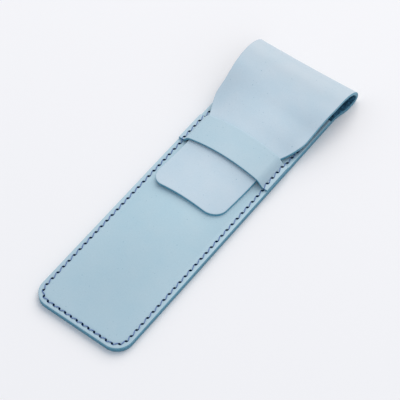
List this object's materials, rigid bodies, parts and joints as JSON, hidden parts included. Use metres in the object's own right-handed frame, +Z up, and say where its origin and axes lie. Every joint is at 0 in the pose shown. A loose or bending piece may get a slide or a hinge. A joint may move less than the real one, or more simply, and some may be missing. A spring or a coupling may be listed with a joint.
{
  "type": "leather pencil case",
  "caption": "Slim leather pencil case with a saddle-stitched pocket, a folded-over flap and a tongue tucked under a retaining band.",
  "frame": {"origin": "centre of the case's outline on the table, under the back panel", "axes": "+Y along the case from its rounded bottom edge to the fold, +X across it, +Z up from the table through the front"},
  "size_m": [0.0622, 0.2028, 0.016],
  "materials": {
    "body_leather": "satin, vegetable-tanned, pale blue",
    "flap_leather": "satin, vegetable-tanned, pale blue",
    "waxed_thread": "waxed, dark blue"
  },
  "bodies": {
    "case": {"back_panel": "body_leather", "front_panel": "body_leather", "retaining_band": "body_leather", "seam_thread": "waxed_thread"},
    "flap_fold": {"flap_fold": "flap_leather"},
    "flap_rear": {"flap_rear": "flap_leather"},
    "flap_front": {"flap_front": "flap_leather"},
    "tongue": {"tongue": "flap_leather"}
  },
  "joints": [
    {"name": "flap_swing", "type": "hinge", "parent": "case", "child": "flap_fold", "pos_m": [0, 0.1014, 0.0042], "axis": [-1, 0, 0], "range_deg": [0, 145]},
    {"name": "flap_arch", "type": "hinge", "parent": "flap_fold", "child": "flap_rear", "pos_m": [0, 0.09801, 0.0116], "axis": [-1, 0, 0], "range_deg": [0, 79.5]},
    {"name": "flap_crease_bend", "type": "hinge", "parent": "flap_rear", "child": "flap_front", "pos_m": [0, 0.069, 0.01234], "axis": [-1, 0, 0], "range_deg": [-159, 0]},
    {"name": "tongue_bend", "type": "hinge", "parent": "flap_front", "child": "tongue", "pos_m": [0, 0.04, 0.0116], "axis": [-1, 0, 0], "range_deg": [0, 79.5]}
  ],
  "couplings": [
    {"joint": "flap_crease_bend", "follows": "flap_arch", "ratio": -2},
    {"joint": "tongue_bend", "follows": "flap_arch", "ratio": 1}
  ]
}
